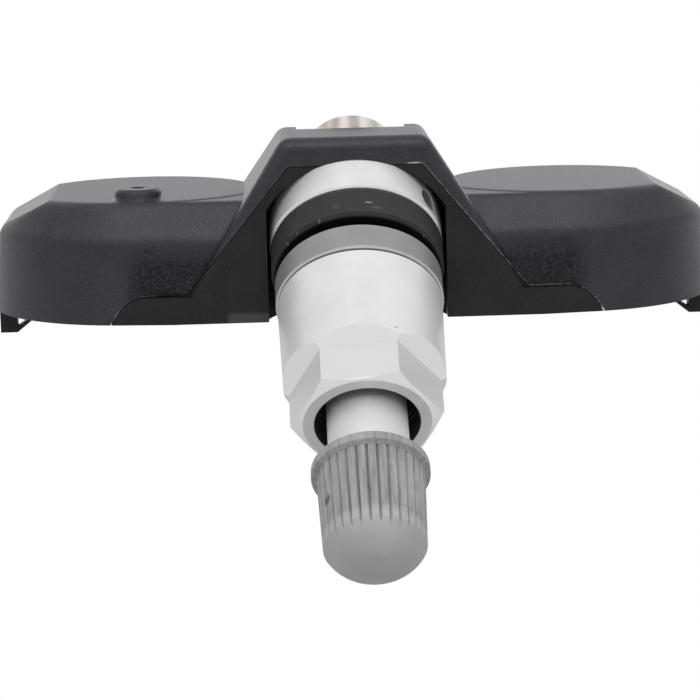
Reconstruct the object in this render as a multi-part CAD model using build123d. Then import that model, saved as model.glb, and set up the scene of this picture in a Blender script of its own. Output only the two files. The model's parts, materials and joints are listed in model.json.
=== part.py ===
from build123d import *
import math
import os

# Clamp-in tyre pressure sensor. Millimetres, +X along the housing, +Y away from the valve cap, +Z up.
# The origin is on the valve axis, where the grommet's flange bears on the inside of the rim.

# Valve axis: declination below the horizontal, and turn of the radial air hole from the top
VALVE_TILT = 37.0
AIR_HOLE_TURN = 57.0

# Housing outside, seen from above and from the front
UNDERSIDE_DROP = 4.4
LOBE_HEIGHT = 11.35
BRIDGE_HEIGHT = 17.3
BRIDGE_FRONT = 1.2
LOBE_SETBACK = 0.5
MIDDLE_SETBACK = 0.4
MIDDLE_DROP = 0.12
LOBE_SPACING = 41.2
LOBE_R = 15.05
LOBE_END_CUT = 0.8
LOBE_END_DROP = 2.9
LOBE_DRAFT_ANGLE = 3.0
LOBE_TOP_R = 11.0
LOBE_TOP_SETBACK = 12.3
LOBE_TOP_CUT = 2.5
LOBE_BACK_ANGLE = 30.0
LOBE_TRIM_CREST = 0.03
LOBE_SHOULDER_DROP = 3.4
LOBE_TOP_INSET = 2.2
WAIST_DEPTH = 20.0
WAIST_TOP_INSET = 3.0
BRIDGE_TOP_WIDTH = 13.65
BRIDGE_FLANK_ANGLE = 58.0
BRIDGE_TOP_LENGTH = 11.6
SHOULDER_FILLET = 1.8
TOP_EDGE_FILLET = 1.0
BRIDGE_CORNER_FILLET = 1.5
BRIDGE_FRONT_FILLET = 1.15
SCOOP_X = 18.9
SCOOP_WIDTH = 7.0
SCOOP_DEPTH = 0.6
SCOOP_DROP = 0.9

# Housing walls and the seam between cover and base
WALL = 1.6
ROOF = 1.6
FLOOR = 1.6
SEAM_GAP = 0.07
SEAM_TOP_WIDTH = 12.6
SEAM_TOP_DROP = 2.7
SEAM_SHELF_HEIGHT = 2.55
SEAM_SHELF_WIDTH = 32.4
SEAM_FOOT_WIDTH = 46.8
SEAM_SHELF_RUNOUT = 1.8
SEAM_SHELF_RADIUS = 3.0
SEAM_KNEE_RADIUS = 0.8
APRON_DEPTH = 2.2
SADDLE_CHEEK = 1.6
SADDLE_BACK_WALL = 3.2
PASSAGE_HEIGHT = 4.7

# Screw pocket behind the bridge
POCKET_WIDTH = 10.6
POCKET_MARGIN = 0.7
SCREW_SHANK_R = 2.0
SCREW_HOLE_CLEARANCE = 0.2
SCREW_HEAD_R = 4.2
SCREW_RIM = 1.95
SCREW_DOME = 1.9
SCREW_SOCKET_R = 1.45
SCREW_SOCKET_LOBE_R = 0.42
SCREW_SOCKET_DEPTH = 2.6
SCREW_ENGAGEMENT = 3.6

# Pressure port on the left lobe
PORT_SETBACK = 4.9
PORT_BOSS_R = 2.25
PORT_BOSS_HEIGHT = 1.1
PORT_BOSS_CHAMFER = 0.25
PORT_HOLE_R = 0.65

# Feet under the ends of the lobes
FOOT_DEPTH = 2.2
FOOT_THICKNESS = 1.65
FOOT_SETBACK = 10.7
FOOT_LENGTH = 1.5
FOOT_BRACE_RUN = 1.9
FOOT_BRACE = 0.55
FOOT_LIP = 0.7

# Valve collar and its ball seat in the saddle, along the valve axis from the origin
GROMMET_FLANGE = 3.6
COLLAR_R = 8.2
COLLAR_LENGTH = 3.4
BALL_R = 10.0
BALL_CLEARANCE = 0.05
SLOT_CLEARANCE = 0.25
SEAT_WALL = 4.35
AIR_HOLE_R = 1.15
AIR_BORE_R = 1.4
COLLAR_CHAMFER = 0.2

# Grommet, thrust ring and union nut
GROMMET_INSET = 0.08
GROMMET_NECK_R = 5.5
GROMMET_NECK = 2.4
GROMMET_EDGE = 0.35
RIM_GAP = 0.95
RING_R = 7.82
RING_THICKNESS = 2.97
RING_RECESS_R = 6.5
RING_RECESS_FLOOR = 0.2
RING_EDGE = 0.15
NUT_GAP = 0.05
NUT_REAR_R = 7.66
NUT_FRONT_R = 7.38
NUT_BARREL = 10.2
NUT_LENGTH = 14.4
NUT_HEX = 12.0
NUT_HEX_TURN = 6.3
NUT_RAMP_ANGLE = 50.0
NUT_RAMP_RUN = 2.6
NUT_END_R = 5.75
NUT_END_CHAMFER = 0.55
NUT_REAR_CHAMFER = 0.2
NUT_THREAD_R = 4.5
NUT_THREAD_LENGTH = 7.5
NUT_BORE_R = 4.75
RUNNING_FIT = 0.06

# Stem outside the nut, its thread for the cap, and the cap
STEM_NECK_R = 4.65
STEM_THREAD_END = 14.2
STEM_SHANK_R = 3.64
STEM_STEP_CHAMFER = 0.6
CAP_START = 23.5
CAP_THREAD_R = 3.87
CAP_THREAD_LEAD = 0.4
CAP_THREAD_LENGTH = 8.0
CAP_FLANGE_R = 5.25
CAP_FLANGE = 1.25
CAP_BODY_R = 4.78
CAP_END_R = 4.5
CAP_LENGTH = 8.9
CAP_DOME = 2.25
CAP_GATE_R = 0.6
CAP_EDGE = 0.25
CAP_RIBS = 32
CAP_LAND_SHARE = 0.6
CAP_RIB_LAND = 0.06
CAP_GROOVE_DEPTH = 0.28
CAP_SEAL = 0.6

# Valve core in the stem's mouth
CORE_CHAMBER_R = 2.6
CORE_CHAMBER_DEPTH = 9.3
CORE_FIT = 0.04
CORE_TOP_DROP = 0.6
CORE_LENGTH = 5.7
CORE_BORE_R = 1.35
CORE_LIP = 0.8
CORE_LIP_R = 0.65
CORE_GROOVE_R = 2.05
CORE_GROOVE_START = 0.9
CORE_GROOVE = 1.3
PIN_R = 0.5
PIN_STROKE = 1.2
PIN_TOP_DROP = 0.35
PIN_COLLAR_R = 1.15
PIN_COLLAR = 0.4
PIN_TAIL = 0.6
CUP_R = 1.75
CUP_THICKNESS = 1.0
SPRING_TURNS = 4
SPRING_WIRE_R = 0.16

# Circuit board and what it carries
BOARD_CLEARANCE = 0.9
BOARD_THICKNESS = 1.0
BOARD_NECK = 4.2
BOARD_NECK_MARGIN = 0.4
STANDOFF_HEIGHT = 0.6
STANDOFF_R = 1.2
STANDOFF_CIRCLE_R = 8.5
CELL_R = 10.0
CELL_HEIGHT = 3.2
CELL_EDGE = 0.4
TAB_WIDTH = 3.6
TAB_THICKNESS = 0.2
TAB_REACH = 12.0
CHIP_SIZE = 5.0
CHIP_HEIGHT = 1.8
CHIP_SHIFT = 1.6
GASKET_R = 1.5
GASKET_BORE_R = 0.9
CONTROLLER_SIZE = 4.5
CONTROLLER_HEIGHT = 0.9
CONTROLLER_AT = (4.8, 2.5)
CRYSTAL_LENGTH = 5.0
CRYSTAL_WIDTH = 3.2
CRYSTAL_HEIGHT = 1.2
CRYSTAL_AT = (-5.6, 2.6)
FERRITE_LENGTH = 7.2
FERRITE_WIDTH = 2.6
FERRITE_HEIGHT = 2.4
FERRITE_AT = (1.0, 6.4)
WINDING_LENGTH = 4.6
WINDING_BUILD = 0.45
ANTENNA_R = 10.4
ANTENNA_STRIP = 0.4
ANTENNA_HEIGHT = 3.2
ANTENNA_SWEEP_ANGLE = 110.0
ANTENNA_START_ANGLE = 125.0

# Derived heights and places of the housing
Z_UNDER = -UNDERSIDE_DROP
Z_LOBE = Z_UNDER + LOBE_HEIGHT
Z_SHOULDER = Z_LOBE - LOBE_SHOULDER_DROP
Z_BRIDGE = Z_UNDER + BRIDGE_HEIGHT
Z_FLOOR = Z_UNDER + FLOOR
Z_ROOF = Z_LOBE - ROOF
LOBE_X = LOBE_SPACING / 2
LOBE_FRONT = BRIDGE_FRONT + LOBE_SETBACK
LOBE_Y = LOBE_FRONT + LOBE_R
FOOT_FRONT = LOBE_FRONT + FOOT_SETBACK
LOBE_TOP_Y = LOBE_FRONT + LOBE_TOP_SETBACK
MIDDLE_FRONT = LOBE_FRONT + MIDDLE_SETBACK
WAIST_Y = LOBE_FRONT + WAIST_DEPTH
BRIDGE_BACK = BRIDGE_FRONT + BRIDGE_TOP_LENGTH
BRIDGE_LOW_WIDTH = BRIDGE_TOP_WIDTH + 2 * BRIDGE_HEIGHT / math.tan(math.radians(BRIDGE_FLANK_ANGLE))
APRON_BACK = LOBE_FRONT + APRON_DEPTH
LOBE_REACH = LOBE_R - LOBE_END_CUT
LOBE_END = LOBE_X + LOBE_REACH
DRAFT_RUN = (LOBE_HEIGHT - LOBE_SHOULDER_DROP) * math.tan(math.radians(LOBE_DRAFT_ANGLE))
PORT_X = -LOBE_X
PORT_Y = LOBE_FRONT + PORT_SETBACK
CAVITY_R = LOBE_REACH - WALL
Z_CEILING = Z_SHOULDER - ROOF / 2
BEYOND = LOBE_SPACING + LOBE_R

# Derived places along the valve axis
GROMMET_R = COLLAR_R - GROMMET_INSET
COLLAR_FRONT = -GROMMET_FLANGE
COLLAR_BACK = COLLAR_FRONT - COLLAR_LENGTH
BALL_CENTRE = COLLAR_BACK + math.sqrt(BALL_R**2 - COLLAR_R**2)
BALL_APEX = BALL_CENTRE - BALL_R
SOCKET_R = BALL_R + BALL_CLEARANCE
SLOT_HALF = COLLAR_R + SLOT_CLEARANCE
SADDLE_HALF = SLOT_HALF + SADDLE_CHEEK
BEARING = BALL_APEX - SEAT_WALL
RING_BACK = RIM_GAP
RING_FRONT = RING_BACK + RING_THICKNESS
NUT_BACK = RING_FRONT + NUT_GAP
NUT_HEX_START = NUT_BACK + NUT_BARREL
NUT_FRONT = NUT_BACK + NUT_LENGTH
STEM_END = CAP_START + CAP_THREAD_LENGTH
CAP_INSIDE = STEM_END + CAP_SEAL + NUT_GAP
CORE_TOP = STEM_END - CORE_TOP_DROP
CORE_BOTTOM = CORE_TOP - CORE_LENGTH
PIN_TOP = STEM_END - PIN_TOP_DROP
SPRING_BACK = CORE_BOTTOM + CORE_LIP
SPRING_FRONT = CORE_TOP - PIN_COLLAR - PIN_STROKE / 2

AXIS_OUT = Vector(0, -math.cos(math.radians(VALVE_TILT)), -math.sin(math.radians(VALVE_TILT)))
VALVE = Plane(origin=(0, 0, 0), x_dir=(1, 0, 0), z_dir=AXIS_OUT)
BALL_POINT = AXIS_OUT * BALL_CENTRE
SADDLE_BACK = BALL_POINT.Y + SOCKET_R + SADDLE_BACK_WALL

# Derived heights of the board's stack
Z_BOARD = Z_FLOOR + STANDOFF_HEIGHT
Z_BOARD_TOP = Z_BOARD + BOARD_THICKNESS
BOARD_R = CAVITY_R - BOARD_CLEARANCE
BOARD_NECK_Y = SADDLE_BACK + BOARD_NECK_MARGIN + BOARD_NECK / 2
Z_CELL = Z_BOARD_TOP + TAB_THICKNESS


def along_y(outline, start, end):
    """Prism of an X-Z outline between two depths."""
    return extrude(Plane.XZ.offset(-start) * outline, -(end - start))


def across_x(outline, half_width):
    """Prism of a Y-Z outline, centred on the valve."""
    return extrude(Plane.YZ * outline, half_width, both=True)


def upright(outline, bottom, top):
    """Prism of an X-Y outline between two heights."""
    return extrude(Plane.XY.offset(bottom) * outline, top - bottom)


def polygon(points, radii=None):
    """Closed outline, with a rounded corner at each point that has a radius."""
    outline = make_face(Polyline(*points, close=True))
    for point, radius in (radii or {}).items():
        corner = outline.vertices().sort_by_distance((*points[point], 0))[0]
        outline = fillet(corner, radius)
    return outline


def turned(points):
    """Solid of revolution about the valve axis from (radius, distance) points."""
    profile = make_face(Polyline(*[(r, 0, s) for r, s in points], close=True))
    return revolve(profile, Axis.Z)


def rod(radius, start, end):
    """Plain round bar on the valve axis."""
    return Pos(0, 0, (start + end) / 2) * Cylinder(radius, end - start)


def level_edges(solid, height):
    """Edges that lie flat at one height."""
    near = 1e-4
    boxes = [(edge, edge.bounding_box()) for edge in solid.edges()]
    return [e for e, b in boxes if abs(b.min.Z - height) < near and abs(b.max.Z - height) < near]


def lobe_form(side):
    """Outside of one lobe: a drafted round with a steep front shoulder and a gentle slope to the back."""
    crest = Z_LOBE + LOBE_TRIM_CREST
    low_r = LOBE_TOP_R + (crest - Z_UNDER) / math.tan(math.radians(LOBE_BACK_ANGLE))
    front_points = [
        (0, Z_UNDER),
        (LOBE_R, Z_UNDER),
        (LOBE_R - DRAFT_RUN, Z_SHOULDER),
        (LOBE_R - LOBE_TOP_INSET, Z_LOBE),
        (0, Z_LOBE),
    ]
    back_points = [(0, Z_UNDER), (low_r, Z_UNDER), (LOBE_TOP_R, crest), (0, crest)]
    front = polygon(front_points, {2: SHOULDER_FILLET, 3: TOP_EDGE_FILLET})
    back = polygon(back_points, {2: TOP_EDGE_FILLET})
    round_form = Pos(side * LOBE_X, LOBE_Y) * revolve(Plane.XZ * front, Axis.Z)
    return round_form & Pos(side * LOBE_X, LOBE_TOP_Y) * revolve(Plane.XZ * back, Axis.Z)


def end_outline():
    """Front outline that both lobes are trimmed to: drafted ends, sloping shoulders and a level top."""
    right = [
        (LOBE_END, Z_UNDER),
        (LOBE_END - DRAFT_RUN, Z_LOBE - LOBE_END_DROP),
        (LOBE_X + LOBE_TOP_R - LOBE_TOP_CUT, Z_LOBE + LOBE_TRIM_CREST),
    ]
    left = [(-x, z) for x, z in reversed(right)]
    radii = {1: SHOULDER_FILLET, 4: SHOULDER_FILLET, 2: TOP_EDGE_FILLET, 3: TOP_EDGE_FILLET}
    return polygon(right + left, radii)


def lobe_cavity(side):
    """Room inside one lobe, open below for the floor, with a smaller room under the level top."""
    low_circle = Pos(side * LOBE_X, LOBE_Y) * Circle(CAVITY_R)
    top_circle = Pos(side * LOBE_X, LOBE_TOP_Y) * Circle(LOBE_TOP_R - 2 * WALL)
    return upright(low_circle, Z_UNDER - FLOOR, Z_CEILING) + upright(top_circle, Z_UNDER, Z_ROOF)


def middle_form():
    """Block between the lobes, a little lower and further back, with the lobes' front shoulder."""
    top = Z_LOBE - MIDDLE_DROP
    shoulder = Z_SHOULDER - MIDDLE_DROP
    points = [
        (MIDDLE_FRONT, Z_UNDER),
        (MIDDLE_FRONT + DRAFT_RUN, shoulder),
        (MIDDLE_FRONT + LOBE_TOP_INSET, top),
        (WAIST_Y - WAIST_TOP_INSET, top),
        (WAIST_Y, shoulder),
        (WAIST_Y, Z_UNDER),
    ]
    front = {1: SHOULDER_FILLET, 2: TOP_EDGE_FILLET}
    back = {3: TOP_EDGE_FILLET, 4: SHOULDER_FILLET}
    return across_x(polygon(points, front | back), LOBE_X)


def bridge_form():
    """Trapezoid bridge over the valve, falling away behind the screw."""
    half_top = BRIDGE_TOP_WIDTH / 2
    half_low = BRIDGE_LOW_WIDTH / 2
    front_points = [(-half_low, Z_UNDER), (-half_top, Z_BRIDGE), (half_top, Z_BRIDGE), (half_low, Z_UNDER)]
    front = polygon(front_points, {1: BRIDGE_CORNER_FILLET, 2: BRIDGE_CORNER_FILLET})
    side_points = [
        (BRIDGE_FRONT, Z_UNDER),
        (BRIDGE_FRONT, Z_BRIDGE),
        (BRIDGE_BACK, Z_BRIDGE),
        (WAIST_Y, Z_SHOULDER),
        (WAIST_Y, Z_UNDER),
    ]
    side = polygon(side_points, {2: BRIDGE_CORNER_FILLET})
    form = along_y(front, BRIDGE_FRONT, WAIST_Y) & across_x(side, half_low)
    face = form.faces().sort_by(Axis.Y)[0]
    rim = [edge for edge in face.edges() if edge.bounding_box().max.Z > Z_UNDER + FLOOR]
    return fillet(rim, BRIDGE_FRONT_FILLET)


def port_boss():
    """Round boss of the pressure port on the left lobe."""
    boss = upright(Pos(PORT_X, PORT_Y) * Circle(PORT_BOSS_R), Z_ROOF, Z_LOBE + PORT_BOSS_HEIGHT)
    return chamfer(level_edges(boss, Z_LOBE + PORT_BOSS_HEIGHT), PORT_BOSS_CHAMFER)


def seam_outline(gap):
    """Front outline of the base: shelf under each lobe, sloping flanks and a level top, grown by the gap."""
    top = Z_BRIDGE - SEAM_TOP_DROP
    shelf = Z_UNDER + SEAM_SHELF_HEIGHT
    low = Z_UNDER - FLOOR
    half_foot = SEAM_FOOT_WIDTH / 2
    half_shelf = half_foot - SEAM_SHELF_RUNOUT
    half_knee = SEAM_SHELF_WIDTH / 2
    half_top = SEAM_TOP_WIDTH / 2
    right = [(half_foot, low), (half_foot, Z_UNDER), (half_shelf, shelf), (half_knee, shelf), (half_top, top)]
    left = [(-x, z) for x, z in reversed(right)]
    radii = {2: SEAM_SHELF_RADIUS, 7: SEAM_SHELF_RADIUS, 3: SEAM_KNEE_RADIUS, 6: SEAM_KNEE_RADIUS}
    radii |= {4: SEAM_KNEE_RADIUS, 5: SEAM_KNEE_RADIUS}
    outline = polygon(right + left, radii)
    return offset(outline, gap) if gap else outline


def scoop(side):
    """Shallow upright hollow in the cover beside the bridge's foot."""
    radius = (SCOOP_WIDTH**2 / 4 + SCOOP_DEPTH**2) / (2 * SCOOP_DEPTH)
    centre = Pos(side * SCOOP_X, LOBE_FRONT + SCOOP_DEPTH - radius)
    return upright(centre * Circle(radius), Z_UNDER - FLOOR, Z_SHOULDER - SCOOP_DROP)


def apron():
    """Flush front of the base under the seam's shelf, from the bridge's foot out to each lobe."""
    half_low = BRIDGE_LOW_WIDTH / 2
    half_foot = SEAM_FOOT_WIDTH / 2
    lobe_y = LOBE_Y - math.sqrt(LOBE_R**2 - (half_foot - LOBE_X)**2)
    right = [(half_low, BRIDGE_FRONT), (half_foot, lobe_y), (half_foot, APRON_BACK)]
    left = [(-x, y) for x, y in reversed(right)]
    return upright(polygon(right + left), Z_UNDER, Z_UNDER + SEAM_SHELF_HEIGHT)


def base_room(gap):
    """Space that the apron and the saddle take inside the housing, grown by the gap."""
    outline = seam_outline(gap)
    cheeks = Pos(0, Z_LOBE) * Rectangle(2 * (SADDLE_HALF + gap), 2 * BEYOND)
    front = along_y(outline, -BEYOND, APRON_BACK + gap)
    return front + along_y(outline & cheeks, APRON_BACK - gap, SADDLE_BACK + gap)


def floor_outline(gap):
    """Plan of the floor plate inside the cover's skirt."""
    lobes = [Pos(side * LOBE_X, LOBE_Y) * Circle(CAVITY_R - gap) for side in (-1, 1)]
    depth = WAIST_Y - WALL - gap - LOBE_FRONT
    middle = Pos(0, LOBE_FRONT + depth / 2) * Rectangle(LOBE_SPACING, depth)
    return lobes[0] + lobes[1] + middle


def valve_slot():
    """Ball socket for the collar, cut off by two straight cheeks and open at the front and below."""
    ball = Pos(BALL_POINT) * Sphere(SOCKET_R)
    return ball & Box(2 * SLOT_HALF, 2 * BEYOND, 2 * BEYOND)


def screw_room():
    """Pocket behind the bearing face and the clearance hole through the seat wall."""
    low = -(SCREW_HEAD_R + POCKET_MARGIN)
    pocket = Pos(0, low + BEYOND / 2, BEARING - BEYOND / 2) * Box(POCKET_WIDTH, BEYOND, BEYOND)
    hole = rod(SCREW_SHANK_R + SCREW_HOLE_CLEARANCE, BEARING, BALL_CENTRE)
    return VALVE * (pocket + hole)


def foot(side):
    """End foot: an upright pad with an open brace behind it."""
    outer = LOBE_END
    inner = outer - FOOT_THICKNESS
    heel = inner - FOOT_BRACE_RUN
    bottom = Z_UNDER - FOOT_DEPTH
    lip = Z_UNDER - FOOT_LIP
    frame = [(outer, Z_UNDER), (outer, bottom), (inner, bottom), (heel, lip), (heel, Z_UNDER)]
    clear = bottom + FOOT_BRACE
    window = [(inner, lip), (inner, clear), (heel + FOOT_BRACE, lip)]
    back = FOOT_FRONT + FOOT_LENGTH
    pad = along_y(polygon(frame), FOOT_FRONT, back)
    pad -= along_y(polygon(window), FOOT_FRONT - WALL, back + WALL)
    pad &= upright(Pos(LOBE_X, LOBE_Y) * Circle(LOBE_R), bottom, Z_UNDER)
    strap_depth = LOBE_X + CAVITY_R
    strap = Pos((heel + strap_depth) / 2 - WALL, FOOT_FRONT + FOOT_LENGTH / 2, Z_UNDER - FOOT_LIP / 2)
    pad += strap * Box(strap_depth - heel + 2 * WALL, FOOT_LENGTH, FOOT_LIP)
    return pad if side > 0 else mirror(pad, Plane.YZ)


def standoffs():
    """Pads on the floor that carry the board."""
    pads = []
    for side in (-1, 1):
        ring = Pos(side * LOBE_X, LOBE_Y) * PolarLocations(STANDOFF_CIRCLE_R, 3, start_angle=90)
        pads += [Pos(0, 0, Z_FLOOR + STANDOFF_HEIGHT / 2) * place * Cylinder(STANDOFF_R, STANDOFF_HEIGHT)
                 for place in ring]
    return pads


def housing_form():
    """Whole outside of the housing, before it is split at the seam."""
    trim = along_y(end_outline(), LOBE_FRONT - LOBE_R, LOBE_FRONT + 3 * LOBE_R)
    lobes = (lobe_form(-1) & trim) + (lobe_form(1) & trim)
    return lobes + middle_form() + bridge_form()


def upper_cover(form):
    """Textured upper moulding: both lobes, the bridge and the port boss."""
    cover = form + port_boss()
    cover -= lobe_cavity(-1) + lobe_cavity(1)
    cover += upright(Pos(PORT_X, PORT_Y) * Circle(PORT_BOSS_R), Z_CEILING, Z_ROOF + ROOF / 2)
    cover -= base_room(SEAM_GAP)
    cover -= [scoop(-1), scoop(1)]
    cover -= upright(floor_outline(0), Z_UNDER - FLOOR, Z_FLOOR + SEAM_GAP)
    neck_depth = WAIST_Y - WALL - SADDLE_BACK
    passage = Pos(0, SADDLE_BACK + neck_depth / 2) * Rectangle(LOBE_SPACING, neck_depth)
    cover -= upright(passage, Z_UNDER, Z_UNDER + PASSAGE_HEIGHT)
    cover -= valve_slot()
    cover -= screw_room()
    cover -= upright(Pos(PORT_X, PORT_Y) * Circle(PORT_HOLE_R), Z_CEILING - ROOF, Z_LOBE + BRIDGE_HEIGHT)
    return cover


def base_shell(form):
    """Smooth lower moulding: apron, saddle, floor, board pads and feet."""
    base = (form + apron()) & base_room(0)
    base += upright(floor_outline(SEAM_GAP), Z_UNDER, Z_FLOOR)
    base -= valve_slot()
    base -= screw_room()
    base += standoffs()
    base += foot(-1)
    base += foot(1)
    return base


def valve_stem():
    """Turned stem with the ball-backed collar, the air passage and the core's chamber."""
    outline = Curve() + [
        ThreePointArc((0, BALL_APEX), ball_point(0.5), (COLLAR_R, COLLAR_BACK)),
        Polyline(
            (COLLAR_R, COLLAR_BACK),
            (COLLAR_R, COLLAR_FRONT - COLLAR_CHAMFER),
            (COLLAR_R - COLLAR_CHAMFER, COLLAR_FRONT),
            (STEM_NECK_R, COLLAR_FRONT),
            (STEM_NECK_R, RING_FRONT),
            (NUT_THREAD_R, RING_FRONT),
            (NUT_THREAD_R, STEM_THREAD_END - STEM_STEP_CHAMFER),
            (STEM_SHANK_R, STEM_THREAD_END),
            (STEM_SHANK_R, CAP_START),
            (CAP_THREAD_R, CAP_START + CAP_THREAD_LEAD),
            (CAP_THREAD_R, STEM_END - CAP_THREAD_LEAD),
            (CAP_THREAD_R - CAP_THREAD_LEAD, STEM_END),
            (0, STEM_END),
            (0, BALL_APEX),
        ),
    ]
    stem = revolve(Plane.XZ * make_face(outline), Axis.Z)
    hole_at = (COLLAR_FRONT + COLLAR_BACK) / 2
    stem -= rod(CORE_CHAMBER_R, STEM_END - CORE_CHAMBER_DEPTH, STEM_END)
    stem -= rod(AIR_BORE_R, hole_at, STEM_END)
    air_hole = Pos(0, 0, hole_at) * Rot(Z=-AIR_HOLE_TURN) * Rot(X=-90) * Pos(0, 0, COLLAR_R)
    stem -= air_hole * Cylinder(AIR_HOLE_R, 2 * COLLAR_R)
    stem -= rod(SCREW_SHANK_R, BALL_APEX, BALL_APEX + SCREW_ENGAGEMENT)
    return VALVE * stem


def ball_point(share):
    """Point on the ball's back, at a share of the way from its apex to the collar's edge."""
    turn = share * math.asin(COLLAR_R / BALL_R)
    return (BALL_R * math.sin(turn), BALL_CENTRE - BALL_R * math.cos(turn))


def fastening_screw():
    """Domed screw with a star socket, clamped on the pocket's bearing face."""
    rim_back = BEARING - SCREW_RIM
    shank = rod(SCREW_SHANK_R, BEARING, BALL_APEX + SCREW_ENGAGEMENT)
    dome_r = (SCREW_HEAD_R**2 + SCREW_DOME**2) / (2 * SCREW_DOME)
    dome = Pos(0, 0, rim_back - SCREW_DOME + dome_r) * Sphere(dome_r)
    head = rod(SCREW_HEAD_R, rim_back - SCREW_DOME, BEARING) & dome + rod(SCREW_HEAD_R, rim_back, BEARING)
    socket_end = rim_back - SCREW_DOME + SCREW_SOCKET_DEPTH
    socket = rod(SCREW_SOCKET_R, rim_back - SCREW_DOME, socket_end)
    for place in PolarLocations(SCREW_SOCKET_R, 6):
        socket += place * rod(SCREW_SOCKET_LOBE_R, rim_back - SCREW_DOME, socket_end)
    return VALVE * (head + shank - socket)


def rim_grommet():
    """Rubber seal: flange on the inside of the rim, neck in its hole."""
    edge = GROMMET_EDGE
    return VALVE * turned([
        (STEM_NECK_R, COLLAR_FRONT),
        (GROMMET_R - edge, COLLAR_FRONT),
        (GROMMET_R, COLLAR_FRONT + edge),
        (GROMMET_R, -edge),
        (GROMMET_R - edge, 0),
        (GROMMET_NECK_R, 0),
        (GROMMET_NECK_R, GROMMET_NECK),
        (STEM_NECK_R, GROMMET_NECK),
    ])


def thrust_ring():
    """Ring with a recess that takes the grommet's neck as the nut is tightened."""
    edge = RING_EDGE
    recess = GROMMET_NECK + RING_RECESS_FLOOR
    return VALVE * turned([
        (RING_RECESS_R, RING_BACK),
        (RING_R - edge, RING_BACK),
        (RING_R, RING_BACK + edge),
        (RING_R, RING_FRONT - edge),
        (RING_R - edge, RING_FRONT),
        (STEM_NECK_R + RUNNING_FIT, RING_FRONT),
        (STEM_NECK_R + RUNNING_FIT, recess),
        (RING_RECESS_R, recess),
    ])


def union_nut():
    """Round barrel that runs out into a hexagon over six sloping flats."""
    chamfer = NUT_REAR_CHAMFER
    corner_r = NUT_HEX / math.sqrt(3)
    thread_r = NUT_THREAD_R + RUNNING_FIT
    thread_end = NUT_BACK + NUT_THREAD_LENGTH
    blank = turned([
        (thread_r, NUT_BACK),
        (NUT_REAR_R - chamfer, NUT_BACK),
        (NUT_REAR_R, NUT_BACK + chamfer),
        (NUT_FRONT_R, NUT_HEX_START),
        (NUT_FRONT_R, NUT_FRONT - NUT_END_CHAMFER - (NUT_FRONT_R - corner_r)),
        (corner_r, NUT_FRONT - NUT_END_CHAMFER),
        (NUT_END_R, NUT_FRONT),
        (NUT_BORE_R, NUT_FRONT),
        (NUT_BORE_R, thread_end),
        (thread_r, thread_end - (NUT_BORE_R - thread_r)),
    ])
    ramp_rise = NUT_RAMP_RUN * math.tan(math.radians(NUT_RAMP_ANGLE))
    hexagon = RegularPolygon(NUT_HEX / 2, 6, major_radius=False, rotation=NUT_HEX_TURN)
    wide = RegularPolygon(NUT_HEX / 2 + ramp_rise, 6, major_radius=False, rotation=NUT_HEX_TURN)
    ramp_start = NUT_HEX_START - NUT_RAMP_RUN
    ramp = loft([Plane.XY.offset(ramp_start) * wide, Plane.XY.offset(NUT_HEX_START) * hexagon])
    tool = upright(hexagon, NUT_HEX_START, NUT_FRONT) + ramp + rod(2 * NUT_REAR_R, NUT_BACK, ramp_start)
    return VALVE * (blank & tool)


def valve_cap():
    """Screwed cap: flange, ribbed wall and a domed end."""
    start = CAP_START
    rib_start = start + CAP_FLANGE
    rib_end = start + CAP_LENGTH
    inside_r = CAP_THREAD_R + RUNNING_FIT
    dome_mid = (CAP_END_R * 0.62, rib_end + CAP_DOME * 0.78)
    outline = Curve() + [
        Polyline(
            (CAP_GATE_R, rib_end + CAP_DOME),
            (0, rib_end + CAP_DOME),
            (0, CAP_INSIDE),
            (inside_r, CAP_INSIDE),
            (inside_r, start),
            (CAP_FLANGE_R - CAP_EDGE, start),
            (CAP_FLANGE_R, start + CAP_EDGE),
            (CAP_FLANGE_R, rib_start - CAP_EDGE),
            (CAP_BODY_R, rib_start),
            (CAP_END_R, rib_end),
        ),
        ThreePointArc((CAP_END_R, rib_end), dome_mid, (CAP_GATE_R, rib_end + CAP_DOME)),
    ]
    cap = revolve(Plane.XZ * make_face(outline), Axis.Z)
    shank = rod(2 * CAP_FLANGE_R, start, rib_start)
    return VALVE * (cap & (shank + rib_prism(rib_start, rib_end, rib_end + 2 * CAP_DOME)))


def rib_outline(radius):
    """Outline with a flat land, just proud of a radius, and a narrow groove for each rib."""
    pitch = 2 * math.pi / CAP_RIBS
    land = radius + CAP_RIB_LAND
    corners = [(-CAP_LAND_SHARE / 2, land), (CAP_LAND_SHARE / 2, land), (0.5, radius - CAP_GROOVE_DEPTH)]
    points = []
    for rib in range(CAP_RIBS):
        for share, reach in corners:
            turn = (rib + share) * pitch
            points.append((reach * math.cos(turn), reach * math.sin(turn)))
    return polygon(points)


def rib_prism(start, end, top):
    """Ribbed form that narrows with the cap's wall and passes beyond its dome."""
    slope = (CAP_END_R - CAP_BODY_R) / (end - start)
    low = Plane.XY.offset(start) * rib_outline(CAP_BODY_R)
    high = Plane.XY.offset(top) * rib_outline(CAP_BODY_R + slope * (top - start))
    return loft([low, high], ruled=True)


def cap_seal():
    """Rubber disc at the bottom of the cap."""
    return VALVE * rod(CAP_THREAD_R - CAP_THREAD_LEAD, CAP_INSIDE - CAP_SEAL, CAP_INSIDE)


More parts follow.
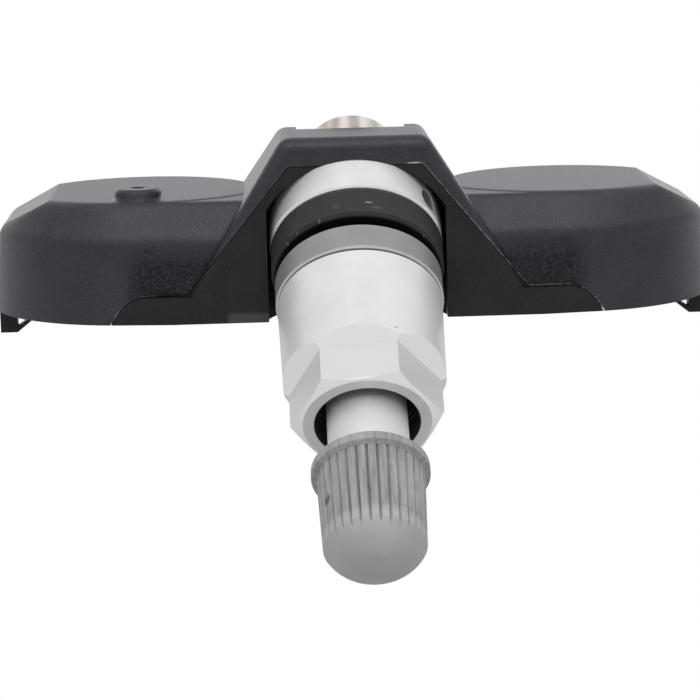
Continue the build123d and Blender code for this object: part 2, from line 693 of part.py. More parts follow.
def core_body():
    """Core barrel screwed into the stem's mouth, grooved for its gasket."""
    outer = CORE_CHAMBER_R - CORE_FIT
    groove = CORE_BOTTOM + CORE_GROOVE_START
    return VALVE * turned([
        (CORE_LIP_R, CORE_BOTTOM),
        (outer, CORE_BOTTOM),
        (outer, groove),
        (CORE_GROOVE_R, groove),
        (CORE_GROOVE_R, groove + CORE_GROOVE),
        (outer, groove + CORE_GROOVE),
        (outer, CORE_TOP),
        (CORE_BORE_R, CORE_TOP),
        (CORE_BORE_R, SPRING_BACK),
        (CORE_LIP_R, SPRING_BACK),
    ])


def core_gasket():
    """Sealing sleeve in the core barrel's groove."""
    groove = CORE_BOTTOM + CORE_GROOVE_START
    end = groove + CORE_GROOVE
    return VALVE * (rod(CORE_CHAMBER_R, groove, end) - rod(CORE_GROOVE_R, groove, end))


def core_pin():
    """Pin that an inflator presses, with the collar that the spring lifts."""
    tail = CORE_BOTTOM - CUP_THICKNESS - PIN_TAIL
    collar = rod(PIN_COLLAR_R, SPRING_FRONT, SPRING_FRONT + PIN_COLLAR)
    return VALVE * (rod(PIN_R, tail, PIN_TOP) + collar)


def core_cup():
    """Rubber-faced cup on the pin, drawn up against the core barrel."""
    back = CORE_BOTTOM - CUP_THICKNESS
    return VALVE * (rod(CUP_R, back, CORE_BOTTOM) - rod(PIN_R, back, CORE_BOTTOM))


def core_spring():
    """Coil spring between the core barrel's lip and the pin's collar."""
    coil_r = (CORE_BORE_R + PIN_R) / 2
    height = SPRING_FRONT - SPRING_BACK - 2 * SPRING_WIRE_R
    path = Helix(pitch=height / SPRING_TURNS, height=height, radius=coil_r)
    section = Plane(origin=path @ 0, z_dir=path % 0) * RegularPolygon(SPRING_WIRE_R, 6)
    coil = sweep(section, path=path, is_frenet=True)
    return VALVE * (Pos(0, 0, SPRING_BACK + SPRING_WIRE_R) * coil)


def circuit_board():
    """Two discs joined by a neck that passes behind the saddle."""
    discs = [Pos(side * LOBE_X, LOBE_Y) * Circle(BOARD_R) for side in (-1, 1)]
    neck = Pos(0, BOARD_NECK_Y) * Rectangle(LOBE_SPACING, BOARD_NECK)
    blank = upright(discs[0] + discs[1] + neck, Z_BOARD, Z_BOARD_TOP)
    relief = SADDLE_HALF + BOARD_NECK_MARGIN
    corner = upright(Pos(0, SADDLE_BACK / 2) * Rectangle(2 * relief, SADDLE_BACK + 2 * BOARD_NECK_MARGIN),
                     Z_BOARD, Z_BOARD_TOP)
    return blank - corner


def coin_cell():
    """Coin cell in the right lobe."""
    cell = upright(Pos(LOBE_X, LOBE_Y) * Circle(CELL_R), Z_CELL, Z_CELL + CELL_HEIGHT)
    return chamfer(level_edges(cell, Z_CELL), CELL_EDGE)


def cell_tab_negative():
    """Strip between the board and the cell's underside."""
    strip = Pos(LOBE_X, LOBE_Y) * Rectangle(TAB_WIDTH, TAB_REACH)
    return upright(strip, Z_BOARD_TOP, Z_CELL)


def cell_tab_positive():
    """Strip over the cell's top, bent down to the board."""
    outer = LOBE_Y - CELL_R - 2 * TAB_THICKNESS
    top = Z_CELL + CELL_HEIGHT
    points = [
        (LOBE_Y, top),
        (LOBE_Y, top + TAB_THICKNESS),
        (outer, top + TAB_THICKNESS),
        (outer, Z_BOARD_TOP),
        (outer + TAB_THICKNESS, Z_BOARD_TOP),
        (outer + TAB_THICKNESS, top),
    ]
    return Pos(LOBE_X, 0, 0) * across_x(polygon(points), TAB_WIDTH / 2)


def on_board(centre, length, width, height):
    """Block on the board's top."""
    return Pos(centre[0], centre[1], Z_BOARD_TOP + height / 2) * Box(length, width, height)


def in_left_lobe(place):
    """Place given from the left lobe's centre."""
    return (place[0] - LOBE_X, place[1] + LOBE_Y)


def pressure_chip():
    """Pressure sensor package under the port, with its inlet."""
    chip = on_board((PORT_X, PORT_Y + CHIP_SHIFT), CHIP_SIZE, CHIP_SIZE, CHIP_HEIGHT)
    inlet = upright(Pos(PORT_X, PORT_Y) * Circle(PORT_HOLE_R), Z_BOARD_TOP + CHIP_HEIGHT / 2, Z_ROOF)
    return chip - inlet


def port_gasket():
    """Rubber tube from the chip to the port's spigot."""
    tube = Circle(GASKET_R) - Circle(GASKET_BORE_R)
    return upright(Pos(PORT_X, PORT_Y) * tube, Z_BOARD_TOP + CHIP_HEIGHT, Z_CEILING)


def controller_chip():
    """Controller package."""
    return on_board(in_left_lobe(CONTROLLER_AT), CONTROLLER_SIZE, CONTROLLER_SIZE, CONTROLLER_HEIGHT)


def crystal():
    """Crystal can, rounded at its ends."""
    x, y = in_left_lobe(CRYSTAL_AT)
    can = Pos(x, y) * SlotOverall(CRYSTAL_LENGTH, CRYSTAL_WIDTH)
    return upright(can, Z_BOARD_TOP, Z_BOARD_TOP + CRYSTAL_HEIGHT)


def ferrite_core():
    """Wake-up coil's core, waisted for the winding."""
    x, y = in_left_lobe(FERRITE_AT)
    core = on_board((x, y), FERRITE_LENGTH, FERRITE_WIDTH, FERRITE_HEIGHT)
    middle = Z_BOARD_TOP + FERRITE_HEIGHT / 2
    outer = Box(WINDING_LENGTH, FERRITE_WIDTH, FERRITE_HEIGHT)
    inner = Box(WINDING_LENGTH, FERRITE_WIDTH - 2 * WINDING_BUILD, FERRITE_HEIGHT - 2 * WINDING_BUILD)
    return core - Pos(x, y, middle) * (outer - inner)


def coil_winding():
    """Copper winding in the core's waist."""
    x, y = in_left_lobe(FERRITE_AT)
    outer = Box(WINDING_LENGTH, FERRITE_WIDTH, FERRITE_HEIGHT)
    inner = Box(WINDING_LENGTH, FERRITE_WIDTH - 2 * WINDING_BUILD, FERRITE_HEIGHT - 2 * WINDING_BUILD)
    return Pos(x, y, Z_BOARD_TOP + FERRITE_HEIGHT / 2) * (outer - inner)


def radio_antenna():
    """Upright strip antenna round the end of the left lobe's board."""
    arc = CenterArc((0, 0), ANTENNA_R, ANTENNA_START_ANGLE, ANTENNA_SWEEP_ANGLE)
    strip = trace(arc, ANTENNA_STRIP)
    return upright(Pos(-LOBE_X, LOBE_Y) * strip, Z_BOARD_TOP, Z_BOARD_TOP + ANTENNA_HEIGHT)


def main():
    """Builds each piece and writes it under its own name."""
    form = housing_form()
    pieces = {
        "upper_cover": upper_cover(form),
        "base_shell": base_shell(form),
        "fastening_screw": fastening_screw(),
        "valve_stem": valve_stem(),
        "rim_grommet": rim_grommet(),
        "thrust_ring": thrust_ring(),
        "union_nut": union_nut(),
        "valve_cap": valve_cap(),
        "cap_seal": cap_seal(),
        "core_body": core_body(),
        "core_gasket": core_gasket(),
        "core_pin": core_pin(),
        "core_cup": core_cup(),
        "core_spring": core_spring(),
        "circuit_board": circuit_board(),
        "coin_cell": coin_cell(),
        "cell_tab_negative": cell_tab_negative(),
        "cell_tab_positive": cell_tab_positive(),
        "pressure_chip": pressure_chip(),
        "port_gasket": port_gasket(),
        "controller_chip": controller_chip(),
        "crystal": crystal(),
        "ferrite_core": ferrite_core(),
        "coil_winding": coil_winding(),
        "radio_antenna": radio_antenna(),
    }
    os.makedirs("parts", exist_ok=True)
    for name, piece in pieces.items():
        export_step(piece, f"parts/{name}.step")


main()
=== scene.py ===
import json
import math
import bpy
from mathutils import Matrix, Vector


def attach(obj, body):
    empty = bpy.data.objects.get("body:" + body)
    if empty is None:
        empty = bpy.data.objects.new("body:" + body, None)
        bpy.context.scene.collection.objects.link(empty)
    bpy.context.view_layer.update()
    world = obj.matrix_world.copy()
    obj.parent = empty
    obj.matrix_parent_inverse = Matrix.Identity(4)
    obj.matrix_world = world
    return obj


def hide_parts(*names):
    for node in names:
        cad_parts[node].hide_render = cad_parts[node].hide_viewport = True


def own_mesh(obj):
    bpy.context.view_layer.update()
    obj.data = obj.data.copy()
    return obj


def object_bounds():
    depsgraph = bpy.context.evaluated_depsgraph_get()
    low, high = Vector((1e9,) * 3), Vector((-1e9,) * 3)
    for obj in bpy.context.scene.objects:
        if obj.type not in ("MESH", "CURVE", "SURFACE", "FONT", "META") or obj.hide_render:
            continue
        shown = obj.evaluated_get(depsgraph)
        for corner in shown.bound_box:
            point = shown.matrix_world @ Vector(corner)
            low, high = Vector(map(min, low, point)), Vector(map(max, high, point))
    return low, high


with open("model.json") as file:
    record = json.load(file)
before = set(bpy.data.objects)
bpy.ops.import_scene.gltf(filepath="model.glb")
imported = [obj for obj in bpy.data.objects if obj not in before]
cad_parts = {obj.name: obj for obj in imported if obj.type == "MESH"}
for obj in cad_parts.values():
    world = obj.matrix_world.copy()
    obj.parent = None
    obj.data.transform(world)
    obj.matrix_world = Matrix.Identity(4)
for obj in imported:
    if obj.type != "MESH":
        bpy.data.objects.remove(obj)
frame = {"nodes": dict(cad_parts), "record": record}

first_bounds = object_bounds()
nodes = frame["nodes"]
scene = bpy.context.scene
scene.view_settings.view_transform = "Standard"

# The valve axis runs forward and down, out of the housing. Lengths are in metres.
TILT = math.radians(37.0)
AXIS_OUT = Vector((0.0, -math.cos(TILT), -math.sin(TILT)))

# Where finishes, marks and painted light and shade lie: S is a place along the valve axis, R the
# distance from it,
# FACING how far a face looks out along it, and X, Y, Z are the frame's own axes
GROOVE_START_S = (-0.00015, 0.00005)
HAIRLINE_S, HAIRLINE_X, HAIRLINE_HALF_WIDTH = 0.03085, (0.0018, 0.0026), (0.00003, 0.00009)
CAP_RIBS_S, CAP_END_S = (0.0232, 0.0310), (0.0312, 0.0320)
NUT_BORE_R, THREAD_STARTS_S, THREAD_WIDTH = (0.00462, 0.00478), (0.01505, 0.01580), 0.00008
NUT_END_S, NUT_END_R = (0.01778, 0.01782), (0.00576, 0.00580)
RUN_OUTS_S, RUN_OUTS_FACING = (0.01140, 0.01420), (0.60, 0.90)
FLATS_S, FLATS_R, FLATS_FACING = (0.01415, 0.01815), (0.00590, 0.00698), (-0.10, 0.10)
COLLAR_EDGE_S, COLLAR_EDGE_R = (-0.00382, -0.00355), (0.00798, 0.00801)
AIR_HOLE, AIR_HOLE_R = (0.00688, 0.00155, 0.00676), (0.00790, 0.00814)
RING_RIM_S, RING_RIM_R = (0.00374, 0.00377), (0.00764, 0.00767)
LOBES_X, LOBE_EDGES_Z = (0.0165, 0.0190), (0.0, 0.0015)
FRONT_Y = (0.0050, 0.0060)
# Where the scoops' painted shade lies, and how strongly it is laid on
SCOOPS_X, SCOOPS_Z, SCOOP_SHADE_AMOUNT = (0.0140, 0.0203), (-0.0060, 0.0009), 0.92
STRIP_X, STRIP_Z = (-0.0120, -0.0070), (-0.0050, -0.0037)
CRISP, FACING_SOFT = 0.00002, 0.05

# The right half of the seam between the mouldings, in X and Z, and how strongly its stretches are drawn
# pale
SEAM = (
    (0.00639, 0.01028), (0.01625, -0.00173), (0.02005, -0.00173),
    (0.02149, -0.00208), (0.02259, -0.00304), (0.02350, -0.00433),
)
SEAM_THREAD_AMOUNTS = ((1, (0.55, 0.6, 0.6, 0.6, 0.6)), (-1, (0.12, 0.25, 0.5, 0.5, 0.5)))
GAPE = ((-0.0188, -0.00170), (-0.0163, -0.00168))

SPECK_TINT, THREAD_TINT = (0.26, 0.26, 0.27), (0.24, 0.24, 0.235)
GRIME_DRAWN_OUT = 0.10

# Where most of a noise's values lie
NOISE_SPREAD = (0.3, 0.7)

# Sockets of the Mix node when it mixes colours
MIX_FACTOR, MIX_A, MIX_B, MIX_RESULT = 0, 6, 7, 2

# Every look by its name, which is the record's material slot
SLOTS = {}


def grey(level):
    return (level, level, level)


class Look:
    """A procedural material on one principled shader, in object coordinates."""

    def __init__(self, name):
        self.mat = bpy.data.materials.new(name)
        self.mat.use_nodes = True
        self.tree = self.mat.node_tree
        self.shader = self.tree.nodes["Principled BSDF"]
        self.coords = self.tree.nodes.new("ShaderNodeTexCoord").outputs["Object"]
        self.bump_normal = None
        SLOTS[name] = self

    def put(self, **sockets):
        for key, value in sockets.items():
            self.shader.inputs[key.replace("_", " ")].default_value = value
        return self

    def feed(self, socket, value):
        if isinstance(value, bpy.types.NodeSocket):
            self.tree.links.new(value, socket)
        else:
            socket.default_value = value

    def node(self, kind, **inputs):
        made = self.tree.nodes.new("ShaderNode" + kind)
        for key, value in inputs.items():
            self.feed(made.inputs[key], value)
        return made

    def calc(self, operation, *values):
        made = self.node("Math")
        made.operation = operation
        for socket, value in zip(made.inputs, values):
            self.feed(socket, value)
        return made.outputs[0]

    def product(self, first, *others):
        for other in others:
            first = self.calc("MULTIPLY", first, other)
        return first

    def vector(self, operation, value, operand=None):
        made = self.node("VectorMath")
        made.operation = operation
        self.feed(made.inputs[0], value)
        if operand is not None:
            made.inputs[1].default_value = operand
        return made.outputs["Value" if operation in ("LENGTH", "DOT_PRODUCT") else "Vector"]

    def ramp(self, value, low, high, to_low=0.0, to_high=1.0):
        made = self.node("MapRange")
        for socket, number in zip(made.inputs, (value, low, high, to_low, to_high)):
            self.feed(socket, number)
        return made.outputs[0]

    def noise(self, scale, detail=3.0, rough=0.55, coords=None):
        made = self.node(
            "TexNoise", Scale=scale, Detail=detail, Roughness=rough, Vector=coords or self.coords)
        return made.outputs["Fac"]

    def mix(self, fac, a, b):
        made = self.node("Mix")
        made.data_type = "RGBA"
        self.feed(made.inputs[MIX_FACTOR], fac)
        for place, value in ((MIX_A, a), (MIX_B, b)):
            self.feed(made.inputs[place], (*value, 1.0) if isinstance(value, tuple) else value)
        return made.outputs[MIX_RESULT]

    def bump(self, height, distance):
        made = self.node("Bump", Strength=1.0, Distance=distance, Height=height)
        if self.bump_normal is not None:
            self.feed(made.inputs["Normal"], self.bump_normal)
        self.bump_normal = made.outputs["Normal"]
        self.feed(self.shader.inputs["Normal"], self.bump_normal)

    def soften(self, radius, samples=8):
        """Rounds the lobes' upper edges in shading alone, under the bumps that follow."""
        x, _, z = self.axes(self.coords)
        wide = self.ramp(self.calc("ABSOLUTE", x), *LOBES_X)
        high = self.ramp(z, *LOBE_EDGES_Z, 0.0, radius)
        made = self.node("Bevel", Radius=self.product(wide, high))
        made.samples = samples
        self.bump_normal = made.outputs["Normal"]

    def colour(self, value):
        self.feed(self.shader.inputs["Base Color"], value)

    def rough(self, value):
        self.feed(self.shader.inputs["Roughness"], value)

    def sheen(self, value):
        self.feed(self.shader.inputs["Specular IOR Level"], value)

    def mark(self, mask, tint, strength=1.0):
        """Tints what the base colour already carries, where the mask is."""
        under = self.shader.inputs["Base Color"].links[0].from_socket
        if strength < 1.0:
            mask = self.product(mask, strength)
        self.colour(self.mix(mask, under, tint))

    def axes(self, coords):
        return self.node("SeparateXYZ", Vector=coords).outputs

    def valve_coords(self):
        """Coordinates turned so that Z runs out along the valve axis."""
        turn = (-(math.pi / 2 + TILT), 0.0, 0.0)
        return self.node("Mapping", Vector=self.coords, Rotation=turn).outputs[0]

    def turned(self):
        """Distance from the valve axis and place along it."""
        x, y, z = self.axes(self.valve_coords())
        squares = self.calc("ADD", self.product(x, x), self.product(y, y))
        return self.calc("SQRT", squares), z

    def facing_out(self):
        """How far the surface faces out along the valve axis, from -1 to 1."""
        return self.vector("DOT_PRODUCT", self.coords.node.outputs["Normal"], AXIS_OUT)

    def band(self, value, low, high, soft):
        """1 between two values, falling to 0 outside them."""
        return self.product(
            self.ramp(value, low - soft, low), self.ramp(value, high, high + soft, 1.0, 0.0))

    def spot(self, centre, radius, soft, stretch=(1.0, 1.0, 1.0)):
        """1 inside a stretched ball round a point, falling to 0 outside it."""
        away = self.vector("SUBTRACT", self.coords, centre)
        away = self.vector("MULTIPLY", away, tuple(1.0 / k for k in stretch))
        return self.ramp(self.vector("LENGTH", away), radius, radius + soft, 1.0, 0.0)

    def stroke(self, start, end, width, soft):
        """1 along a straight line between two points of the X-Z plane, falling to 0 beside it."""
        x, _, z = self.axes(self.coords)
        run, rise = end[0] - start[0], end[1] - start[1]
        length = math.hypot(run, rise)
        run, rise = run / length, rise / length
        x = self.calc("SUBTRACT", x, start[0])
        z = self.calc("SUBTRACT", z, start[1])
        ahead = self.calc("ADD", self.product(x, run), self.product(z, rise))
        aside = self.calc("SUBTRACT", self.product(x, rise), self.product(z, run))
        near = self.ramp(self.calc("ABSOLUTE", aside), width, width + soft, 1.0, 0.0)
        return self.product(near, self.band(ahead, 0.0, length, soft))


def grained_plastic(name, dark, light, rough, grain, depth, specks, soft=0.0):
    """Moulded plastic with an eroded grain, a slow mottle and a few bright grains."""
    look = Look(name)
    if soft:
        look.soften(soft)
    mottle = look.noise(scale=260.0)
    fine = look.noise(grain, rough=0.65)
    tone = look.mix(look.ramp(mottle, 0.35, 0.65), dark, light)
    bright = look.ramp(look.noise(grain * 1.3, detail=2.0, rough=0.7), 0.60, 0.78)
    look.colour(look.mix(look.product(bright, specks), tone, SPECK_TINT))
    look.rough(look.ramp(fine, *NOISE_SPREAD, rough - 0.06, rough + 0.08))
    look.bump(fine, depth)
    return look


def satin_metal(name, dark, light, rough, lines, depth, metallic):
    """Turned metal: faint rings round the valve axis, slow patches in tone and sheen."""
    look = Look(name).put(Metallic=metallic)
    coords = look.valve_coords()
    place = look.axes(coords)[2]
    patches = look.noise(scale=330.0, coords=coords)
    ring = look.node("CombineXYZ", X=0.0, Y=0.0, Z=look.product(place, lines)).outputs[0]
    rings = look.noise(scale=1.0, detail=2.0, rough=0.6, coords=ring)
    speck = look.noise(scale=5200.0, detail=2.0, rough=0.6)
    look.colour(look.mix(look.ramp(patches, *NOISE_SPREAD), dark, light))
    look.rough(look.ramp(speck, *NOISE_SPREAD, rough - 0.05, rough + 0.07))
    look.bump(rings, depth)
    look.bump(speck, depth * 0.8)
    return look


def plain(name, dark, light, rough, metallic=0.0, scale=1500.0, depth=0.00001):
    """One tone with a fine grain in colour, sheen and surface."""
    look = Look(name).put(Metallic=metallic)
    grain = look.noise(scale)
    look.colour(look.mix(look.ramp(grain, *NOISE_SPREAD), dark, light))
    look.rough(look.ramp(grain, *NOISE_SPREAD, rough - 0.05, rough + 0.05))
    look.bump(grain, depth)
    return look


def white_to_camera(tree, lit, shown, output):
    """The camera sees one shader, and everything else is lit by the other."""
    path = tree.nodes.new("ShaderNodeLightPath")
    choose = tree.nodes.new("ShaderNodeMixShader")
    sources = (path.outputs["Is Camera Ray"], lit.outputs[0], shown.outputs[0])
    for source, socket in zip(sources, choose.inputs):
        tree.links.new(source, socket)
    tree.links.new(choose.outputs[0], output.inputs["Surface"])


cover = grained_plastic(
    "cover_plastic", (0.0118, 0.0110, 0.0180), (0.0172, 0.0160, 0.0255),
    rough=0.43, grain=6200.0, depth=0.00004, specks=0.38, soft=0.0010)
base = grained_plastic(
    "base_plastic", (0.0088, 0.0088, 0.0092), (0.0132, 0.0132, 0.0136),
    rough=0.42, grain=3000.0, depth=0.00001, specks=0.08)
base.put(Specular_IOR_Level=0.28)
cap = grained_plastic(
    "cap_plastic", grey(0.305), (0.355, 0.355, 0.353),
    rough=0.48, grain=3600.0, depth=0.000012, specks=0.10)
aluminium = satin_metal(
    "aluminium", grey(0.69), (0.75, 0.75, 0.748),
    rough=0.46, lines=9000.0, depth=0.000005, metallic=0.5)
ring_metal = satin_metal(
    "ring_metal", (0.30, 0.30, 0.305), (0.345, 0.345, 0.347),
    rough=0.55, lines=7000.0, depth=0.000006, metallic=0.8)
rubber = plain(
    "black_rubber", (0.012, 0.012, 0.0135), (0.021, 0.021, 0.023), rough=0.62, scale=900.0)
plain(
    "screw_steel", (0.49, 0.448, 0.41), (0.57, 0.528, 0.49),
    rough=0.22, metallic=1.0, scale=900.0, depth=0.000006)
plain("core_brass", (0.55, 0.40, 0.17), (0.66, 0.50, 0.24), rough=0.32, metallic=1.0)
plain("spring_steel", grey(0.52), grey(0.64), rough=0.30, metallic=1.0)
plain("board", (0.012, 0.10, 0.035), (0.02, 0.15, 0.055), rough=0.40)
plain("chip_plastic", grey(0.018), grey(0.03), rough=0.55)
plain("ferrite", (0.04, 0.04, 0.042), grey(0.07), rough=0.5)
plain("copper", (0.55, 0.22, 0.09), (0.66, 0.30, 0.14), rough=0.33, metallic=1.0)

# Painted shade: the grommet's groove is painted black and without sheen, where deep shadow falls
# between grommet and ring
groove_shade = rubber.ramp(rubber.axes(rubber.valve_coords())[2], *GROOVE_START_S)
rubber.mark(groove_shade, grey(0.0008))
rubber.sheen(rubber.ramp(groove_shade, 0.0, 1.0, 0.45, 0.02))

# Small spots that the photograph shows: a smudge on the cap, a nick on the nut, rubbed places and ticks
# on the grommet, and a bright tick on each moulding where they meet under the bridge: painted light
# showing through the seam's gap
ROUND = (1.0, 1.0, 1.0)
SPOTS_AND_PAINTED_LIGHT = (  # look, centre, radius, soft, stretch, tint
    (cap, (-0.00400, -0.02446, -0.01545), 0.00016, 0.00030, (1.0, 1.5, 1.5), grey(0.02)),
    (aluminium, (0.00275, -0.01465, -0.00238), 0.00004, 0.00014, (1.6, 1.0, 1.0), grey(0.42)),
    (rubber, (0.00099, -0.00360, 0.00735), 0.00004, 0.00009, (4.5, 1.0, 1.0), grey(0.24)),
    (rubber, (0.00174, -0.00400, 0.00691), 0.00006, 0.00026, (2.2, 1.0, 1.0), grey(0.055)),
    (rubber, (-0.00201, -0.00367, 0.00707), 0.00006, 0.00040, ROUND, (0.055, 0.037, 0.044)),
    (rubber, (-0.00358, -0.00411, 0.00580), 0.00004, 0.00009, (1.0, 1.0, 2.2), grey(0.12)),
    (rubber, (-0.00653, -0.00255, 0.00353), 0.00004, 0.00009, (1.0, 1.0, 2.0), grey(0.12)),
    (rubber, (-0.00566, -0.00321, 0.00461), 0.00003, 0.00009, ROUND, grey(0.12)),
    (rubber, (0.00606, -0.00292, 0.00400), 0.00003, 0.00009, ROUND, grey(0.12)),
    # Painted light: these two bright ticks stand in for light showing through the seam's gap
    (cover, (0.00555, 0.00120, 0.01034), 0.00003, 0.00007, (9.0, 1.0, 1.0), grey(0.40)),
    (base, (-0.00322, 0.00392, 0.00977), 0.00005, 0.00012, (1.6, 1.0, 1.0), (0.30, 0.30, 0.29)),
)
for spotted, centre, radius, soft, stretch, tint in SPOTS_AND_PAINTED_LIGHT:
    spotted.mark(spotted.spot(centre, radius, soft, stretch), tint)

# The cap has a hairline, a paler end, and grime drawn out along its ribs
cap_x, cap_y, cap_s = cap.axes(cap.valve_coords())
from_line = cap.calc("ABSOLUTE", cap.calc("SUBTRACT", cap_s, HAIRLINE_S))
hairline = cap.ramp(from_line, *HAIRLINE_HALF_WIDTH, 1.0, 0.0)
cap.mark(cap.product(hairline, cap.ramp(cap_x, *HAIRLINE_X, 0.0, 0.55)), grey(0.12))
cap.mark(cap.ramp(cap_s, *CAP_END_S, 0.0, 0.16), grey(0.62))
drawn = cap.node("CombineXYZ", X=cap_x, Y=cap_y, Z=cap.product(cap_s, GRIME_DRAWN_OUT)).outputs[0]
grime = cap.ramp(cap.noise(2600.0, rough=0.6, coords=drawn), 0.42, 0.64, 0.0, 0.55)
cap.mark(cap.product(grime, cap.band(cap_s, *CAP_RIBS_S, soft=0.0006)), grey(0.15))

# Painted shade: the scoops beside the bridge are painted darker, as the shade of a recess, broken up by
# a coarser grain and with less sheen
cover_x, cover_y, cover_z = cover.axes(cover.coords)
front = cover.ramp(cover_y, *FRONT_Y, 1.0, 0.0)
scoop_shade = cover.product(
    cover.band(cover.calc("ABSOLUTE", cover_x), *SCOOPS_X, soft=0.0019),
    cover.band(cover_z, *SCOOPS_Z, soft=0.0020), front, SCOOP_SHADE_AMOUNT,
    cover.ramp(cover.noise(3400.0, detail=2.0, rough=0.6), 0.46, 0.66, 1.0, 0.25))
cover.mark(scoop_shade, (0.0035, 0.0033, 0.0045))
cover.sheen(cover.ramp(scoop_shade, 0.0, 1.0, 0.5, 0.26))

# A pale thread, broken by noise, runs along the seam; where the seam gapes at its left knee, the gap's
# shade is painted black
thread_noise = cover.ramp(cover.noise(2600.0, detail=2.0, rough=0.6), 0.42, 0.60, 0.2, 1.0)
thread_noise = cover.product(thread_noise, front)
for side, amounts in SEAM_THREAD_AMOUNTS:
    outline = [(side * x, z) for x, z in SEAM]
    for start, end, amount in zip(outline, outline[1:], amounts):
        thread = cover.stroke(start, end, width=0.00003, soft=0.00005)
        cover.mark(cover.product(thread, thread_noise), THREAD_TINT, amount)
gape_shade = cover.stroke(*GAPE, width=0.00008, soft=0.00008)
cover.mark(cover.product(gape_shade, front), grey(0.001), 0.9)

# A pale strip lies at the base's lower edge, left of the valve
base_x, base_y, base_z = base.axes(base.coords)
strip = base.product(
    base.band(base_x, *STRIP_X, soft=0.0005), base.band(base_z, *STRIP_Z, soft=0.0004),
    base.ramp(base_y, *FRONT_Y, 1.0, 0.0))
base.mark(strip, grey(0.062), 0.8)

# Painted light and shade: the nut's bore is painted dark as shade, with painted glints at its thread's
# starts, the collar's air hole is painted darker inside as shade, and the turned edges of collar, nut
# and ring are painted bright as highlights
metal_r, metal_s = aluminium.turned()
bore_shade = aluminium.band(metal_r, *NUT_BORE_R, soft=CRISP)
aluminium.mark(bore_shade, grey(0.012), 0.93)
for start in THREAD_STARTS_S:
    glint = aluminium.band(metal_s, start, start + THREAD_WIDTH, soft=0.00007)
    aluminium.mark(aluminium.product(bore_shade, glint), grey(0.60), 0.5)
# Painted shade: the inside of the collar's air hole is painted darker
mouth = aluminium.spot(AIR_HOLE, radius=0.0014, soft=0.0002)
inside = aluminium.ramp(metal_r, *AIR_HOLE_R, 1.0, 0.0)
aluminium.mark(aluminium.product(mouth, inside), (0.27, 0.27, 0.275), 0.95)
# Painted highlights: the edges of collar and nut are painted bright
collar_edge_highlight = aluminium.product(
    aluminium.band(metal_s, *COLLAR_EDGE_S, soft=CRISP), aluminium.ramp(metal_r, *COLLAR_EDGE_R))
aluminium.mark(collar_edge_highlight, grey(0.90), 0.7)
nut_end_highlight = aluminium.product(
    aluminium.ramp(metal_s, *NUT_END_S), aluminium.ramp(metal_r, *NUT_END_R))
aluminium.mark(nut_end_highlight, grey(0.99), 0.85)
# Painted highlight: the ring's rim is painted bright
ring_r, ring_s = ring_metal.turned()
ring_rim_highlight = ring_metal.product(
    ring_metal.ramp(ring_s, *RING_RIM_S), ring_metal.ramp(ring_r, *RING_RIM_R))
ring_metal.mark(ring_rim_highlight, grey(0.66), 0.8)

# The nut's milled faces carry painted light and shade: the sloping run-outs are painted paler as a
# highlight, the flats of the hexagon darker as shade
outward = aluminium.facing_out()
run_out_highlight = aluminium.product(
    aluminium.band(metal_s, *RUN_OUTS_S, soft=CRISP),
    aluminium.band(outward, *RUN_OUTS_FACING, soft=FACING_SOFT))
aluminium.mark(run_out_highlight, grey(0.90), 0.95)
flat_shade = aluminium.product(
    aluminium.band(metal_s, *FLATS_S, soft=CRISP),
    aluminium.band(outward, *FLATS_FACING, soft=FACING_SOFT),
    aluminium.band(metal_r, *FLATS_R, soft=CRISP))
aluminium.mark(flat_shade, grey(0.645))

for part in frame["record"]["subparts"]:
    mesh = nodes[part["node"]].data
    mesh.materials.clear()
    mesh.materials.append(SLOTS[part["material_slot"]].mat)

# The core's spring is a piece of its own here, attached to the housing with a mesh of its own
coil = bpy.data.objects.new("core_spring_coil", nodes["core_spring"].data.copy())
scene.collection.objects.link(coil)
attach(coil, "housing")
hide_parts("core_spring")
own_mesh(coil)

# The floor lies low enough for the cap to come off, and is painted paler beside and behind the part:
# painted light that brightens the part's sides
FLOOR_SIZE, FLOOR_DROP = 6.0, 0.0062
BESIDE_X, BEHIND_Y = (0.07, 0.13), (0.0, 0.06)
lowest = first_bounds[0].z - FLOOR_DROP
bpy.ops.mesh.primitive_plane_add(size=FLOOR_SIZE, location=(0.0, 0.0, lowest))
floor = bpy.context.object
floor.name = "floor"
paper = Look("floor_paper").put(Roughness=0.9, Specular_IOR_Level=0.0)
fibres = paper.ramp(paper.noise(scale=40.0), *NOISE_SPREAD)
paper.colour(paper.mix(fibres, grey(0.58), grey(0.60)))
paper_x, paper_y, _ = paper.axes(paper.coords)
painted_light_beside = paper.ramp(paper.calc("ABSOLUTE", paper_x), *BESIDE_X)
paper.mark(paper.product(painted_light_beside, paper.ramp(paper_y, *BEHIND_Y)), grey(0.95))
white_to_camera(
    paper.tree, paper.shader, paper.node("Emission", Strength=1.0),
    paper.tree.nodes["Material Output"])
floor.data.materials.append(paper.mat)

WORLD_STRENGTH = 0.64
world = bpy.data.worlds.new("studio")
scene.world = world
world.use_nodes = True
tree = world.node_tree
tree.nodes.clear()
lit = tree.nodes.new("ShaderNodeBackground")
lit.inputs["Strength"].default_value = WORLD_STRENGTH
shown = tree.nodes.new("ShaderNodeBackground")
shown.inputs["Color"].default_value = (1.0, 1.0, 1.0, 1.0)
shown.inputs["Strength"].default_value = 1.0
white_to_camera(tree, lit, shown, tree.nodes.new("ShaderNodeOutputWorld"))

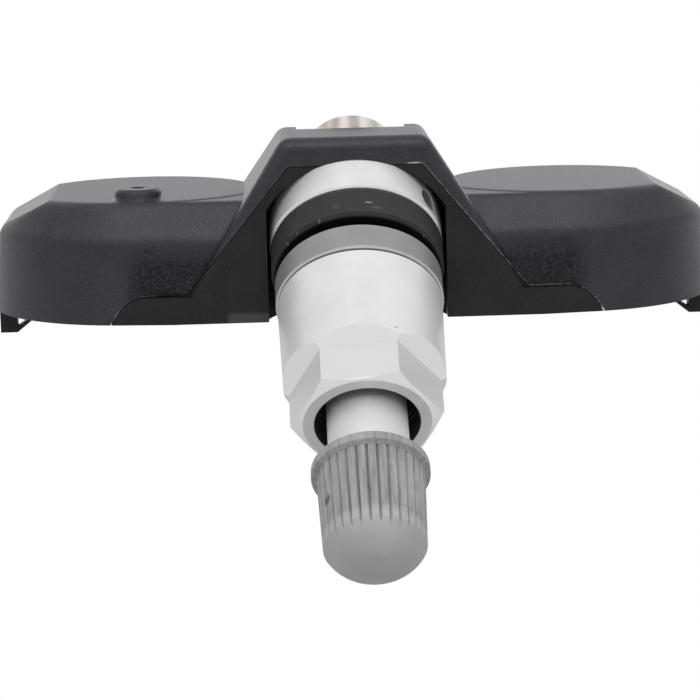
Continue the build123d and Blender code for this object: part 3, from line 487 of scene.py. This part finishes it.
AIM = Vector((0.0, 0.0, 0.0))
SOFTBOXES = (  # name, place, size, watts
    ("top_box", (0.0, 0.02, 0.55), (0.9, 0.7), 0.65),
    ("back_box", (0.0, 0.60, 0.22), (1.2, 0.5), 1.6),
    ("front_box", (0.0, -0.42, 0.48), (0.9, 0.35), 2.4),
    ("left_box", (-0.60, 0.22, 0.45), (0.6, 0.5), 0.4),
    ("right_box", (0.60, 0.22, 0.45), (0.6, 0.5), 0.4),
    ("left_back", (-0.32, 0.58, 0.18), (0.25, 0.35), 0.3),
    ("right_back", (0.32, 0.58, 0.18), (0.25, 0.35), 0.3),
    ("left_window", (-0.09, 0.10, 0.50), (0.14, 0.14), 0.05),
    ("right_window", (0.22, 0.14, 0.46), (0.14, 0.14), 0.05),
)
for name, place, size, watts in SOFTBOXES:
    light = bpy.data.lights.new(name, "AREA")
    light.shape = "RECTANGLE"
    light.size, light.size_y = size
    light.energy = watts
    lamp = bpy.data.objects.new(name, light)
    scene.collection.objects.link(lamp)
    lamp.location = place
    lamp.rotation_mode = "QUATERNION"
    lamp.rotation_quaternion = (AIM - Vector(place)).to_track_quat("-Z", "Y")
    lamp.visible_camera = False

# The camera is fitted to the photograph: first to points measured in it, then to its outline
ELEVATION, YAW, ROLL = math.radians(10.594), math.radians(-1.832), math.radians(1.404)
TARGET, DISTANCE = Vector((-0.000932, 0.0, -0.007068)), 0.248225
FOCAL_PIXELS, IMAGE_PIXELS, SENSOR_WIDTH = 2633.93, 700.0, 36.0
CLIP_NEAR, CLIP_FAR = 0.01, 20.0
ahead = Vector((
    -math.sin(YAW) * math.cos(ELEVATION), math.cos(YAW) * math.cos(ELEVATION), -math.sin(ELEVATION)))
level = ahead.cross(Vector((0, 0, 1))).normalized()
upright = level.cross(ahead)
right = math.cos(ROLL) * level - math.sin(ROLL) * upright
up = math.sin(ROLL) * level + math.cos(ROLL) * upright
camera_data = bpy.data.cameras.new("camera")
camera_data.sensor_width = SENSOR_WIDTH
camera_data.lens = FOCAL_PIXELS / IMAGE_PIXELS * SENSOR_WIDTH
camera_data.clip_start, camera_data.clip_end = CLIP_NEAR, CLIP_FAR
camera = bpy.data.objects.new("camera", camera_data)
scene.collection.objects.link(camera)
turn = Matrix((right, up, -ahead)).transposed()
camera.matrix_world = Matrix.Translation(TARGET - ahead * DISTANCE) @ turn.to_4x4()
scene.camera = camera
